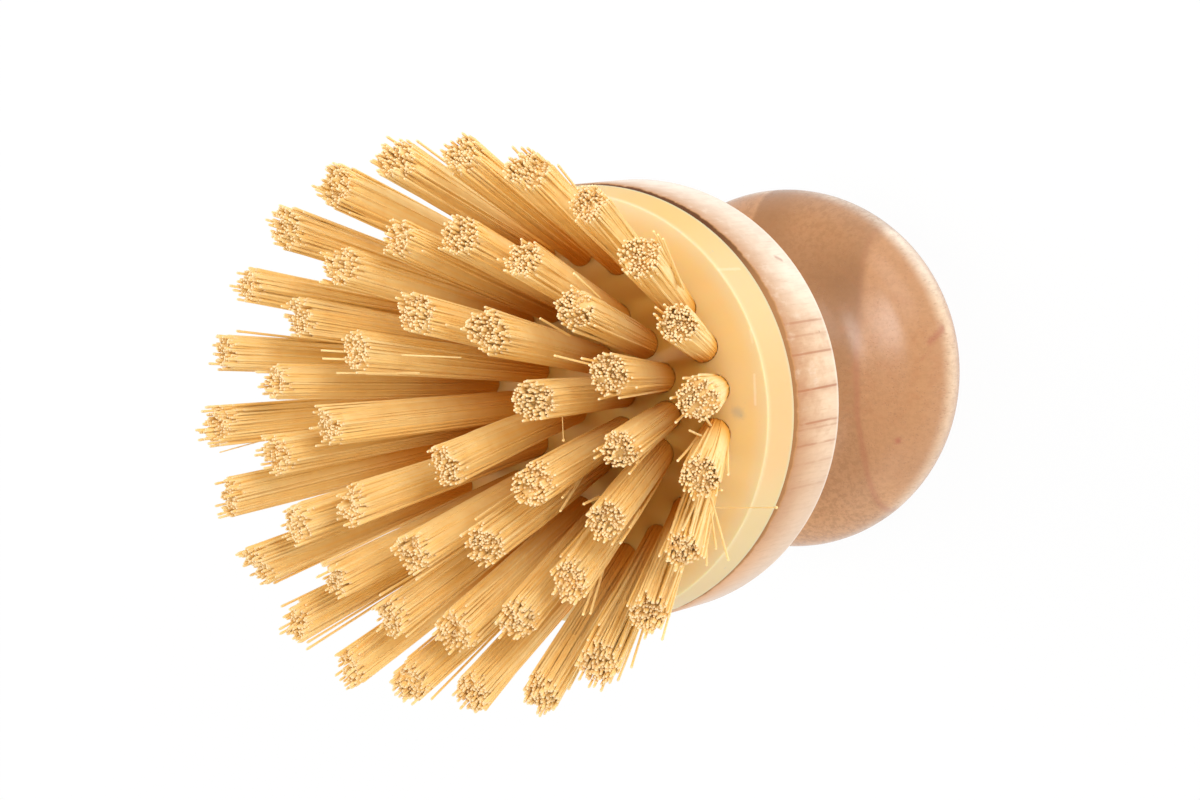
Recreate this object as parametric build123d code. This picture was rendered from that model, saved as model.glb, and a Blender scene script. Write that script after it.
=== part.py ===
from build123d import *
import math
import os

# Dish brush with a round knob handle. All lengths are in millimetres.
# The brush stands on the flat end of its knob, bristles up, with its axis on Z.

# Wooden handle: a flattened ball drawn as an oval of tangent arcs, cut flat at its foot
knob_radius = 24.3
knob_side_arc = 9.25
knob_lower_depth = 12.7
knob_upper_depth = 13.7
foot_radius = 9.0

# Wooden handle: a straight neck that runs into the knob and the rim with a hollow at each end
neck_radius = 11.6
neck_hollow_arc = 9.0
rim_hollow_arc = 8.0

# Wooden handle: rim, measured down from the face that the bristles stand in
rim_margin = 6.0
rim_front_below_face = 5.7
rim_side_start_below_face = 7.4
rim_front_bevel = 1.1
rim_back_below_face = 18.5
rim_back_bevel = 1.4

# Height of the bristle block's face above the knob's equator
face_above_equator = 61.3

# Bristle block: a moulded disc with a raised pad, and a plug that sits in the rim's socket
block_set_back = 0.2
block_side_draft = 0.7
block_edge_bevel = 0.5
ledge_width = 1.2
pad_slope = 0.6
pad_height = 0.5
plug_wall = 3.6
plug_depth = 4.6
plug_edge_bevel = 0.6
socket_side_clearance = 0.15
socket_floor_clearance = 0.4

# Tuft holes: blind, moulded on tapered pins, square to each tuft
hole_mouth_radius = 1.9
hole_draft = 0.28
hole_depth = 7.0
hole_overrun = 2.4
hole_sides = 12

# Rings of tufts: the wall left between two holes' floors, and where the bristles end
outer_count = 23
outer_hole_wall = 1.33
outer_splay_angle = 23.6
outer_tip_height = 29.6
outer_start_angle = 6.7
middle_count = 17
middle_hole_wall = 0.66
middle_splay_angle = 18.2
middle_tip_height = 32.1
middle_start_angle = 17.1
inner_count = 9
inner_hole_wall = 0.64
inner_splay_angle = 11.8
inner_tip_height = 34.1
inner_start_angle = 16.2
centre_tip_height = 34.0
centre_start_angle = 291.0

# Bristles: the root is the folded bundle in the hole, the strands stand on it
root_wall_clearance = 0.08
root_stand = 1.3
root_sides = 6
strand_sides = 3
strands_round_centre = 6
strand_sunk = 0.5

# Flat wire anchors that hold the folds of the bristles at the bottom of the holes
anchor_bite = 0.38
anchor_thickness = 0.4
anchor_height = 1.6
anchor_above_floor = 1.1
anchor_side_clearance = 0.05

# Strands as shares of the hole's radius: their ring and their own reach, at the root and the tip
root_ring_share = 0.57
root_reach_share = 0.26
tip_ring_share = 0.97
tip_reach_share = 0.45

# Small unevenness: each strand's length, and the few tufts that lean off their ring
strand_length_shares = (1.0, 0.975, 1.01, 0.985, 1.015, 0.97, 0.995)
lean_outward_shares = {"tuft_outer_17": -0.53, "tuft_outer_18": -0.5, "tuft_centre": 1.04}


def floor_circle(count, wall):
    """Return the radius of a ring's circle of hole floors, with this wall between two of them."""
    return (2 * hole_floor_radius + wall) / (2 * math.sin(math.pi / count))


def face_circle(count, wall, splay_angle):
    """Return the radius of a ring's circle of holes where they come out of the face."""
    return floor_circle(count, wall) + hole_depth * math.sin(math.radians(splay_angle))


def crown_radius(depth):
    """Return the radius of the knob's flatter arc, tangent to its side arc at this depth."""
    square_sum = knob_radius**2 + depth**2 - 2 * knob_radius * knob_side_arc
    return square_sum / (2 * (depth - knob_side_arc))


hole_floor_radius = hole_mouth_radius - hole_draft
hole_taper = hole_draft / hole_depth
anchor_length = 2 * (hole_floor_radius + anchor_bite)

rim_radius = face_circle(outer_count, outer_hole_wall, outer_splay_angle)
rim_radius += hole_mouth_radius + rim_margin
rim_front_radius = rim_radius - rim_front_bevel
block_edge_radius = rim_radius - block_set_back
block_face_radius = block_edge_radius - block_side_draft
pad_foot_radius = block_face_radius - ledge_width
pad_radius = pad_foot_radius - pad_slope
plug_radius = floor_circle(outer_count, outer_hole_wall) + hole_floor_radius + plug_wall

lower_crown = crown_radius(knob_lower_depth)
upper_crown = crown_radius(knob_upper_depth)
foot_rise = lower_crown - math.sqrt(lower_crown**2 - foot_radius**2)
equator_height = knob_lower_depth - foot_rise
face_height = equator_height + face_above_equator


def arc_meeting(depth, crown):
    """Return how far out and how deep the knob's side arc meets its flatter arc."""
    out = knob_radius - knob_side_arc
    down = crown - depth
    share = crown / math.hypot(out, down)
    return out * share, down * share - down


def knob_outline():
    """Return the knob's half outline from its foot, and the point where the neck's hollow starts."""
    low_out, low_down = arc_meeting(knob_lower_depth, lower_crown)
    high_out, high_up = arc_meeting(knob_upper_depth, upper_crown)
    low_meeting = (low_out, equator_height - low_down)
    high_meeting = (high_out, equator_height + high_up)
    hollow_out, hollow_up = neck_hollow_centre()
    crown_centre_drop = upper_crown - knob_upper_depth
    share = upper_crown / (upper_crown + neck_hollow_arc)
    rise = (hollow_up + crown_centre_drop) * share - crown_centre_drop
    leaving = (hollow_out * share, equator_height + rise)
    lines = Line((0, 0), (foot_radius, 0))
    lines += RadiusArc((foot_radius, 0), low_meeting, -lower_crown)
    lines += ThreePointArc(low_meeting, (knob_radius, equator_height), high_meeting)
    lines += RadiusArc(high_meeting, leaving, -upper_crown)
    return lines, leaving


def neck_hollow_centre():
    """Return how far out and how far above the equator the neck's lower hollow has its centre."""
    out = neck_radius + neck_hollow_arc
    crown_centre_drop = upper_crown - knob_upper_depth
    reach = upper_crown + neck_hollow_arc
    return out, math.sqrt(reach**2 - out**2) - crown_centre_drop


def make_handle():
    """Return the turned handle: knob, neck and rim in one piece of wood, with its socket."""
    front = face_height - rim_front_below_face
    side_start = face_height - rim_side_start_below_face
    back = face_height - rim_back_below_face
    neck_start = (neck_radius, equator_height + neck_hollow_centre()[1])
    neck_end = (neck_radius, back - rim_hollow_arc)
    hollow_end = (neck_radius + rim_hollow_arc, back)
    lines, leaving = knob_outline()
    lines += RadiusArc(leaving, neck_start, neck_hollow_arc)
    lines += Line(neck_start, neck_end)
    lines += RadiusArc(neck_end, hollow_end, rim_hollow_arc)
    lines += Polyline(
        hollow_end,
        (rim_radius - rim_back_bevel, back),
        (rim_radius, back + rim_back_bevel),
        (rim_radius, side_start),
        (rim_front_radius, front),
        (0, front),
        (0, 0),
    )
    wood = revolve(Plane.XZ * make_face(lines), Axis.Z)
    socket_depth = plug_depth + socket_floor_clearance
    socket = Cylinder(plug_radius + socket_side_clearance, socket_depth)
    wood -= Pos(0, 0, front - socket_depth / 2) * socket
    return wood.solid()


def make_disc():
    """Return the bristle block before its holes are made, with its face at level zero."""
    back = -rim_front_below_face
    floor = back - plug_depth
    points = [
        (0, 0),
        (pad_radius, 0),
        (pad_foot_radius, -pad_height),
        (block_face_radius - block_edge_bevel, -pad_height),
        (block_face_radius, -pad_height - block_edge_bevel),
        (block_edge_radius, back),
        (plug_radius, back),
        (plug_radius, floor + plug_edge_bevel),
        (plug_radius - plug_edge_bevel, floor),
        (0, floor),
    ]
    outline = make_face(Polyline(*points, close=True))
    return revolve(Plane.XZ * outline, Axis.Z)


def make_block(tufts):
    """Return the moulded block with a hole and an anchor's seat for every tuft."""
    top_radius = hole_mouth_radius + hole_taper * hole_overrun
    floor = corners((0, 0, -hole_depth), hole_floor_radius, hole_sides, 0)
    top = corners((0, 0, hole_overrun), top_radius, hole_sides, 0)
    hole = make_taper(floor, top)
    seat_length = anchor_length + 2 * anchor_side_clearance
    seat_thickness = anchor_thickness + 2 * anchor_side_clearance
    seat_height = anchor_height + anchor_side_clearance
    seat = Pos(0, 0, seat_level(seat_height)) * Box(seat_length, seat_thickness, seat_height)
    cutter = hole + seat
    cutters = [(tuft.place * cutter).solid() for tuft in tufts]
    block = make_disc().cut(*cutters)
    return Pos(0, 0, face_height) * block.solid()


def seat_level(height):
    """Return the middle of a slot or seat of this height, measured along a tuft's axis."""
    return anchor_above_floor - hole_depth + height / 2


def corners(centre, reach, sides, turn):
    """Return the corners of an even-sided ring round a centre, square to Z."""
    x, y, z = centre
    step = 2 * math.pi / sides
    angles = [turn + step * n for n in range(sides)]
    return [Vector(x + reach * math.cos(a), y + reach * math.sin(a), z) for a in angles]


def make_taper(low, high):
    """Return the flat-sided solid between two rings of corners that lie in parallel planes."""
    faces = [Face(Wire.make_polygon(low)), Face(Wire.make_polygon(high))]
    for n in range(len(low)):
        after = (n + 1) % len(low)
        faces.append(Face(Wire.make_polygon([low[n], low[after], high[after], high[n]])))
    return Solid(Shell(faces))


class Tuft:
    """One tuft's place: where its hole is, which way it points and how long it is."""

    def __init__(self, name, root_radius, splay_angle, tip_height, angle, turn):
        self.name = name
        self.turn = turn
        splay = math.radians(splay_angle)
        radial = Vector(1, 0, 0).rotate(Axis.Z, angle)
        axis = radial * math.sin(splay) + Vector(0, 0, math.cos(splay))
        across = radial * math.cos(splay) - Vector(0, 0, math.sin(splay))
        self.length = tip_height / math.cos(splay)
        self.place = Plane(origin=radial * root_radius, x_dir=across, z_dir=axis).location
        self.lean = lean_outward_shares.get(name, 0) * 2 * tip_ring_share * hole_mouth_radius


def make_root():
    """Return the folded bundle in the hole, with the slot that its anchor sits in."""
    low_reach = hole_floor_radius - root_wall_clearance
    high_reach = hole_mouth_radius - root_wall_clearance + hole_taper * root_stand
    low = corners((0, 0, -hole_depth), low_reach, root_sides, 0)
    high = corners((0, 0, root_stand), high_reach, root_sides, 0)
    slot_thickness = anchor_thickness + 2 * anchor_side_clearance
    slot_height = anchor_height + anchor_side_clearance
    slot = Box(anchor_length, slot_thickness, slot_height)
    return make_taper(low, high).cut((Pos(0, 0, seat_level(slot_height)) * slot).solid())


def make_strand(x_share, y_share, length, lean):
    """Return one strand that stands on the root at this place and widens towards its tip."""
    root_ring = root_ring_share * hole_mouth_radius
    tip_ring = tip_ring_share * hole_mouth_radius
    turn = math.atan2(y_share, x_share)
    start = (root_ring * x_share, root_ring * y_share, root_stand - strand_sunk)
    end = (tip_ring * x_share + lean, tip_ring * y_share, length)
    low = corners(start, root_reach_share * hole_mouth_radius, strand_sides, turn)
    high = corners(end, tip_reach_share * hole_mouth_radius, strand_sides, turn)
    return make_taper(low, high)


def make_tuft(tuft, root):
    """Return one tuft: its root and the strands that flare out of it, as one solid."""
    places = [(0, 0)]
    for n in range(strands_round_centre):
        angle = 2 * math.pi * (n + 1 / 2) / strands_round_centre
        places.append((math.cos(angle), math.sin(angle)))
    strands = []
    for n, (x_share, y_share) in enumerate(places):
        length_share = strand_length_shares[(n + tuft.turn) % len(strand_length_shares)]
        strands.append(make_strand(x_share, y_share, tuft.length * length_share, tuft.lean))
    whole = root.fuse(*strands)
    return Pos(0, 0, face_height) * (tuft.place * whole.solid())


def make_anchors(tufts):
    """Return the flat wire anchors, one across the fold of every tuft."""
    wire = Box(anchor_length, anchor_thickness, anchor_height)
    wire = Pos(0, 0, seat_level(anchor_height)) * wire
    lift = Pos(0, 0, face_height)
    return Compound([(lift * (tuft.place * wire)).solid() for tuft in tufts])


def ring_of_tufts(name, count, wall, splay_angle, tip_height, start_angle):
    """Return the places of one ring of tufts, spaced evenly round the axis."""
    radius = face_circle(count, wall, splay_angle)
    ring = []
    for n in range(count):
        angle = start_angle + 360 * n / count
        label = f"tuft_{name}_{n + 1:02d}"
        ring.append(Tuft(label, radius, splay_angle, tip_height, angle, n))
    return ring


def all_tufts():
    """Return the places of every tuft, from the outer ring to the centre."""
    outer = (outer_hole_wall, outer_splay_angle, outer_tip_height, outer_start_angle)
    middle = (middle_hole_wall, middle_splay_angle, middle_tip_height, middle_start_angle)
    inner = (inner_hole_wall, inner_splay_angle, inner_tip_height, inner_start_angle)
    tufts = ring_of_tufts("outer", outer_count, *outer)
    tufts += ring_of_tufts("middle", middle_count, *middle)
    tufts += ring_of_tufts("inner", inner_count, *inner)
    tufts.append(Tuft("tuft_centre", 0, 0, centre_tip_height, centre_start_angle, 0))
    return tufts


def main():
    """Build every piece and write each one as its own file."""
    os.makedirs("parts", exist_ok=True)
    tufts = all_tufts()
    root = make_root()
    pieces = {"handle": make_handle(), "tuft_block": make_block(tufts)}
    pieces["anchors"] = make_anchors(tufts)
    for tuft in tufts:
        pieces[tuft.name] = make_tuft(tuft, root)
    for name, shape in pieces.items():
        shape.label = name
        export_step(shape, f"parts/{name}.step")


main()
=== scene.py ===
import logging
import math
import random
from dataclasses import dataclass, field
from enum import Enum
from typing import ClassVar, Mapping, Sequence

import bmesh
import bpy
from bmesh.types import BMesh, BMVert
from bpy.types import Material, Mesh, Node, NodeTree, Object
from mathutils import Matrix, Vector


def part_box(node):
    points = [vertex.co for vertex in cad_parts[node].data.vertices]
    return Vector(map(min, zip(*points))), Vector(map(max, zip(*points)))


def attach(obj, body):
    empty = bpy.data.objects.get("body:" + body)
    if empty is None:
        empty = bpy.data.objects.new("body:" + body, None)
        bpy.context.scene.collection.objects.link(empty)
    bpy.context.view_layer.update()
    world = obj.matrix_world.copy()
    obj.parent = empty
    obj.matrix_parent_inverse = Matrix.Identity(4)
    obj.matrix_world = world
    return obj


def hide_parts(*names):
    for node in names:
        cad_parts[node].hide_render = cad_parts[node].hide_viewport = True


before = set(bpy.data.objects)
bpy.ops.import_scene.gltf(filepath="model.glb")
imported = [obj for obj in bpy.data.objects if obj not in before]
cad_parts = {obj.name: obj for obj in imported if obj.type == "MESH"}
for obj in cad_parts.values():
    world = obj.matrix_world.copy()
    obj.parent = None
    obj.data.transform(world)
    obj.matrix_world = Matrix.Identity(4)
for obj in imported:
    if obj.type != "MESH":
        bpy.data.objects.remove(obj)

# Dish brush with a turned knob handle, a moulded bristle block and 50 splayed tufts.
# Lengths are in metres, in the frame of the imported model: the brush stands on its knob, axis on Z.

LOG = logging.getLogger("dish_brush")
MM = 0.001
FULL_TURN = 2 * math.pi

Socket = bpy.types.NodeSocket
Colour = tuple[float, float, float, float]
Point = tuple[float, float, float]
# Two values of one kind: where an effect sets in and is full, or its strength at either end.
Pair = tuple[float, float]


class Ring(Enum):
    """The rings of tufts, by the word that their nodes' names hold."""

    OUTER = "outer"
    MIDDLE = "middle"
    INNER = "inner"
    CENTRE = "centre"


class Slot(Enum):
    """The names of the record's material slots."""

    WOOD = "turned_wood"
    PLASTIC = "moulded_plastic"
    BRISTLE = "bristle"


# Shader building


@dataclass(frozen=True)
class Pattern:
    """A noise or a field of cells, by its scale per metre, its layers and the fade of its mask."""

    scale: float
    lengthwise: float = 1.0
    detail: float = 2.0
    roughness: float = 0.5
    fade: Pair = (0.0, 1.0)


class NodeSheet:
    """A small helper that places and joins the nodes of one material or node group."""

    # A Mix node's colour sockets go by number, because its other sockets have the same names.
    MIX_FIRST, MIX_SECOND, MIX_RESULT = 6, 7, 2

    def __init__(self, tree: NodeTree) -> None:
        """Keep the tree of the material or node group that the nodes go into."""
        self.tree = tree

    def feed(self, node: Node, inputs: dict[object, object]) -> None:
        """Feed a node's inputs.

        Args:
            node: the node to feed.
            inputs: an output to join or a value to set, by each input's name or number.
        """
        for key, value in inputs.items():
            if isinstance(value, Socket):
                self.tree.links.new(value, node.inputs[key])
            else:
                node.inputs[key].default_value = value

    def add(self, kind: str, inputs: dict[object, object] | None = None,
            **settings: object) -> Node:
        """Add one node and feed it.

        Args:
            kind: the node's type name.
            inputs: what goes into its inputs, as in feed().
            settings: properties to set on the node.

        Returns:
            The new node.
        """
        node = self.tree.nodes.new(kind)
        for name, value in settings.items():
            setattr(node, name, value)
        self.feed(node, inputs or {})
        return node

    def coordinates(self, kind: str) -> Socket:
        """Return one of the piece's own coordinates, such as Object or Normal."""
        return self.add("ShaderNodeTexCoord").outputs[kind]

    def math(self, operation: str, *values: object) -> Socket:
        """Return the result of a Math node that takes these values in order."""
        return self.add("ShaderNodeMath", dict(enumerate(values)), operation=operation).outputs[0]

    def product(self, first: object, second: object) -> Socket:
        """Return the first value times the second."""
        return self.math("MULTIPLY", first, second)

    def gap(self, value: object, place: float) -> Socket:
        """Return how far a value is from a place, on either side."""
        return self.math("ABSOLUTE", self.math("SUBTRACT", value, place))

    def vector(self, operation: str, first: object, second: object) -> Node:
        """Return a Vector Math node that takes these two vectors."""
        return self.add("ShaderNodeVectorMath", {0: first, 1: second}, operation=operation)

    def parts(self, vector: Socket) -> tuple[Socket, ...]:
        """Return a vector's x, y and z."""
        return tuple(self.add("ShaderNodeSeparateXYZ", {0: vector}).outputs)

    def span(self, value: object, low: object, high: object, start: float = 0.0,
             end: float = 1.0) -> Socket:
        """Map a value smoothly from one range to another.

        Args:
            value: the value to map.
            low: where the range starts.
            high: where the range ends.
            start: the result at and before low.
            end: the result at and after high.

        Returns:
            The mapped value.
        """
        ranges = {"Value": value, "From Min": low, "From Max": high, "To Min": start, "To Max": end}
        node = self.add("ShaderNodeMapRange", ranges, interpolation_type="SMOOTHSTEP")
        return node.outputs["Result"]

    def mix(self, share: object, first: object, second: object) -> Socket:
        """Mix two colours.

        Args:
            share: how much of the second colour shows.
            first: the first colour.
            second: the second colour.

        Returns:
            The mixed colour.
        """
        inputs = {"Factor": share, self.MIX_FIRST: first, self.MIX_SECOND: second}
        return self.add("ShaderNodeMix", inputs, data_type="RGBA").outputs[self.MIX_RESULT]

    def stretch(self, coords: Socket, pattern: Pattern) -> Socket:
        """Return coordinates scaled along the brush's axis, so that a pattern runs along it."""
        inputs = {"Vector": coords, "Scale": (1.0, 1.0, pattern.lengthwise)}
        return self.add("ShaderNodeMapping", inputs).outputs[0] if pattern.lengthwise != 1 else coords

    def noise(self, coords: Socket, pattern: Pattern) -> Socket:
        """Return the value of a noise that follows a pattern."""
        inputs = {"Vector": self.stretch(coords, pattern), "Scale": pattern.scale,
                  "Detail": pattern.detail, "Roughness": pattern.roughness}
        return self.add("ShaderNodeTexNoise", inputs).outputs["Fac"]

    def patches(self, coords: Socket, pattern: Pattern) -> Socket:
        """Return the mask of a noise's patches, which sets in over its fade."""
        return self.span(self.noise(coords, pattern), *pattern.fade)

    def dots(self, coords: Socket, pattern: Pattern) -> Socket:
        """Return the mask of dots in the middles of cells, which sets in over the fade."""
        inputs = {"Vector": self.stretch(coords, pattern), "Scale": pattern.scale}
        return self.span(self.add("ShaderNodeTexVoronoi", inputs).outputs["Distance"], *pattern.fade)

    def bump(self, height: object, distance: float, strength: float,
             normal: Socket | None = None) -> Socket:
        """Add a Bump node.

        Args:
            height: the height that it follows.
            distance: the depth of the relief, in metres.
            strength: how much of it shows.
            normal: another bump's normal to start from, if any.

        Returns:
            The bent normal.
        """
        inputs = {"Height": height, "Distance": distance, "Strength": strength}
        if normal is not None:
            inputs["Normal"] = normal
        return self.add("ShaderNodeBump", inputs).outputs["Normal"]


class SharedEffect:
    """An effect that materials share, as a node group that is built once."""

    name: ClassVar[str]
    inputs: ClassVar[dict[str, str]]
    outputs: ClassVar[tuple[str, ...]]

    def draw(self, sheet: NodeSheet, inward: Mapping[str, Socket], outward: Node) -> None:
        """Draw the effect's nodes, from the group's inputs to its output node."""
        raise NotImplementedError

    def group(self) -> NodeTree:
        """Return the node group, built the first time that it is asked for.

        Returns:
            The group.
        """
        if self.name in bpy.data.node_groups:
            return bpy.data.node_groups[self.name]
        tree = bpy.data.node_groups.new(self.name, "ShaderNodeTree")
        for name, kind in self.inputs.items():
            tree.interface.new_socket(name, in_out="INPUT", socket_type=kind)
        for name in self.outputs:
            tree.interface.new_socket(name, in_out="OUTPUT", socket_type="NodeSocketFloat")
        sheet = NodeSheet(tree)
        self.draw(sheet, sheet.add("NodeGroupInput").outputs, sheet.add("NodeGroupOutput"))
        return tree

    def place(self, sheet: NodeSheet, **values: object) -> Mapping[str, Socket]:
        """Return the outputs of the group's node, placed in a material with these values."""
        return sheet.add("ShaderNodeGroup", values, node_tree=self.group()).outputs


class HandlingWear(SharedEffect):
    """The specks and faint rubbing that every surface of a used brush shows."""

    name = "handling_wear"
    inputs = {"Coordinates": "NodeSocketVector"}
    outputs = ("Specks", "Rubbing", "Height")
    specks: ClassVar[Pattern] = Pattern(420, fade=(0.10, 0.05))
    thinning: ClassVar[Pattern] = Pattern(90, fade=(0.58, 0.66))
    rubbing: ClassVar[Pattern] = Pattern(55, detail=4, fade=(0.35, 0.7))
    fine: ClassVar[Pattern] = Pattern(3200, detail=3)

    def draw(self, sheet: NodeSheet, inward: Mapping[str, Socket], outward: Node) -> None:
        """Draw a mask of thinned specks, a cloudy rub mask and a fine height.

        Args:
            sheet: the group's node sheet.
            inward: the group's inputs.
            outward: the group's output node.
        """
        coords = inward["Coordinates"]
        specks = sheet.product(sheet.dots(coords, self.specks), sheet.patches(coords, self.thinning))
        rubbing, height = sheet.patches(coords, self.rubbing), sheet.noise(coords, self.fine)
        sheet.feed(outward, {"Specks": specks, "Rubbing": rubbing, "Height": height})


class SurfaceMark(SharedEffect):
    """The mask of one short scratch, stain or fleck, which fades away from its line."""

    name = "surface_mark"
    inputs = {"Coordinates": "NodeSocketVector", "Start": "NodeSocketVector",
              "End": "NodeSocketVector", "Reach": "NodeSocketFloat"}
    outputs = ("Mask",)
    ragged: ClassVar[Pattern] = Pattern(2500)
    raggedness: ClassVar[Pair] = (0.9, 0.55)

    def draw(self, sheet: NodeSheet, inward: Mapping[str, Socket], outward: Node) -> None:
        """Draw the mask from the distance to the line between the two ends.

        Args:
            sheet: the group's node sheet.
            inward: the group's inputs.
            outward: the group's output node.
        """
        here = sheet.vector("SUBTRACT", inward["Coordinates"], inward["Start"]).outputs[0]
        line = sheet.vector("SUBTRACT", inward["End"], inward["Start"]).outputs[0]
        along = sheet.vector("DOT_PRODUCT", here, line).outputs["Value"]
        square = sheet.vector("DOT_PRODUCT", line, line).outputs["Value"]
        share = sheet.math("DIVIDE", along, square)
        share = sheet.math("MINIMUM", sheet.math("MAXIMUM", share, 0.0), 1.0)
        nearest = sheet.add("ShaderNodeVectorMath", {0: line, "Scale": share}, operation="SCALE")
        gap = sheet.vector("DISTANCE", here, nearest.outputs[0]).outputs["Value"]
        ragged = sheet.noise(inward["Coordinates"], self.ragged)
        gap = sheet.product(gap, sheet.math("MULTIPLY_ADD", ragged, *self.raggedness))
        sheet.feed(outward, {"Mask": sheet.span(gap, inward["Reach"], 0.0)})


@dataclass(frozen=True)
class Mark:
    """One scratch, stain or fleck on a piece, with its ends and its reach in millimetres."""

    start: Point
    end: Point
    reach: float
    strength: float
    colour: Colour

    def over(self, sheet: NodeSheet, coords: Socket, body: Socket) -> Socket:
        """Lay the mark over a colour.

        Args:
            sheet: the material's node sheet.
            coords: the piece's coordinates.
            body: the colour under the mark.

        Returns:
            The marked colour.
        """
        start = tuple(value * MM for value in self.start)
        end = tuple(value * MM for value in self.end)
        mask = SurfaceMark().place(sheet, Coordinates=coords, Start=start, End=end,
                                   Reach=self.reach * MM)["Mask"]
        return sheet.mix(sheet.product(mask, self.strength), body, self.colour)


@dataclass(frozen=True)
class Finish:
    """What every finish shares: a name and the making of an empty material."""

    name: str = "finish"

    def start(self) -> tuple[Material, NodeSheet, Node]:
        """Make the material with its shader.

        Returns:
            The material, its node sheet and its Principled BSDF.
        """
        material = bpy.data.materials.new(self.name)
        material.use_nodes = True
        return material, NodeSheet(material.node_tree), material.node_tree.nodes["Principled BSDF"]


@dataclass(frozen=True)
class TurnedWoodFinish(Finish):
    """Pale close-grained wood under a satin lacquer, with the grain along the brush's axis."""

    name: str = "turned_wood_lacquered"
    pale: Colour = (0.88, 0.63, 0.40, 1.0)
    # Painted light: the paler colour of the handle's upper side and of the rim's glints.
    top_light: Colour = (0.94, 0.82, 0.66, 1.0)
    # Painted highlight along the rim's rounded back edge.
    edge_highlight: Colour = (0.96, 0.83, 0.66, 1.0)
    tan: Colour = (0.53, 0.255, 0.105, 1.0)
    ruddy: Colour = (0.80, 0.42, 0.19, 1.0)
    dark: Colour = (0.30, 0.128, 0.038, 1.0)
    pore: Colour = (0.34, 0.15, 0.065, 1.0)
    line: Colour = (0.45, 0.16, 0.05, 1.0)
    # Bevel: darker end grain with painted shade under the block's overhang; joint: painted shade in
    # the gap under the block.
    shaded_bevel: Colour = (0.54, 0.26, 0.10, 1.0)
    joint_shade: Colour = (0.13, 0.045, 0.015, 1.0)
    knot: Colour = (0.42, 0.13, 0.055, 1.0)
    marks: tuple[Mark, ...] = (
        Mark((22.77, 3.84, 16.0), (23.53, 5.37, 13.3), 0.9, 0.75, knot),
        Mark((23.0, 3.3, 15.2), (22.2, 1.6, 17.4), 0.5, 0.35, knot),
        Mark((18.8, -9.0, 18.7), (18.9, -9.1, 18.7), 0.8, 1.0, knot),
        Mark((21.2, 17.4, 58.3), (21.5, 17.1, 57.5), 0.6, 0.6, knot),
    )

    # Grain
    fibre: Pattern = Pattern(2400, 0.06, 3, 0.6, (0.4, 0.75))
    mottle: Pattern = Pattern(700, 0.5, 3, 0.6, (0.45, 0.7))
    glints: Pair = (0.5, 0.25)
    cloud: Pattern = Pattern(110, 0.3, 4, fade=(0.3, 0.72))
    curl: Pattern = Pattern(1500, 0.4, 4, 0.7, (0.42, 0.62))
    pores: Pattern = Pattern(3000, 0.09, fade=(0.34, 0.12))
    pore_patches: Pattern = Pattern(500, fade=(0.35, 0.6))
    wandering: Pattern = Pattern(60, 0.35)
    wander: float = 2.4 * MM
    wander_level: float = 0.1
    cloud_strength: float = 0.22
    fibre_strength: float = 0.12
    pore_strength: float = 0.3

    # Tones of the knob and neck, by places along X and Y, with painted light above, painted shade
    # below and painted bounce light at the knob's bottom
    end_grain_slant: float = 0.36
    # Painted light paler towards the top, painted shade darker towards the bottom, and painted bounce
    # light on the ruddy end grain at the knob's bottom.
    top_light_rise: Pair = (6 * MM, 16 * MM)
    top_light_strength: float = 0.8
    lower_shade_fall: Pair = (-2 * MM, -12 * MM)
    lower_shade_strength: float = 0.3
    bounce_light_fall: Pair = (-12 * MM, -23 * MM)
    heart_start: float = -1.4 * MM
    heart_start_width: float = 0.9 * MM
    heart_end: float = 15.0 * MM
    heart_end_reach: Pair = (0.5 * MM, 1.1 * MM)
    # The heartwood weakens towards the bottom, partly as painted bounce light from below.
    heart_rise: Pair = (-14 * MM, 14 * MM)
    heart_strengths: Pair = (0.3, 0.9)
    crown_rise: Pair = (12 * MM, 20 * MM)
    crown_across: Pair = (1 * MM, 8 * MM)
    crown_loss: float = 0.5
    figure_reach: float = 3 * MM
    figure_strengths: Pair = (0.16, 0.40)
    seam_reach: Pair = (0.6 * MM, 0.05 * MM)
    seam_fall: Pair = (8 * MM, -2 * MM)
    seam_strengths: Pair = (0.12, 0.4)
    neck_shade_reach: float = 0.4 * MM
    neck_shade: float = 0.3

    # The rim: its mottle, the painted highlight along its back edge, its painted glints and the lines
    # across it, by places along Y in mm
    rim_rise: Pair = (50 * MM, 52 * MM)
    rim_pore_loss: float = 0.6
    rim_middle: float = 2 * MM
    rim_middle_reach: Pair = (10 * MM, 5 * MM)
    rim_mottle: Pair = (0.12, 0.26)
    glint_strength: float = 0.25
    glint_rise: Pair = (-6 * MM, 4 * MM)
    edge_highlight_fall: Pair = (55.67 * MM, 54.77 * MM)
    edge_highlight_strength: float = 0.75
    line_places: tuple[float, ...] = (9.6, 8.0, 5.8, 1.4, -2.7, -3.4, -5.4, -7.7, -10.6)
    line_strengths: tuple[float, ...] = (0.7, 0.45, 0.85, 1.0, 0.9, 0.5, 0.75, 0.35, 0.3)
    line_width: float = 0.25 * MM
    line_core: float = 0.25
    halo_width: float = 5.0
    halo_strength: float = 0.35
    line_breaks: Pattern = Pattern(900, 0.25, fade=(0.3, 0.5))
    line_left: float = 0.35
    line_strength: float = 0.95

    # The rim's front bevel, darker end grain partly painted shade under the block's overhang, and the
    # painted shade in its joint with the block, measured down from the handle's top
    raggedness: float = 0.6 * MM
    edge_narrowing: float = 0.25 * MM
    edge_fall: Pair = (14 * MM, 4 * MM)
    bevel_reach: float = 1.70 * MM
    bevel_fade: float = 0.2 * MM
    bevel_strength: float = 0.85
    joint_shade_reach: float = 1.60 * MM
    joint_shade_fade: float = 0.25 * MM
    joint_shade_rise: Pair = (12 * MM, 23 * MM)
    joint_shade_strengths: Pair = (0.35, 1.0)

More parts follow.
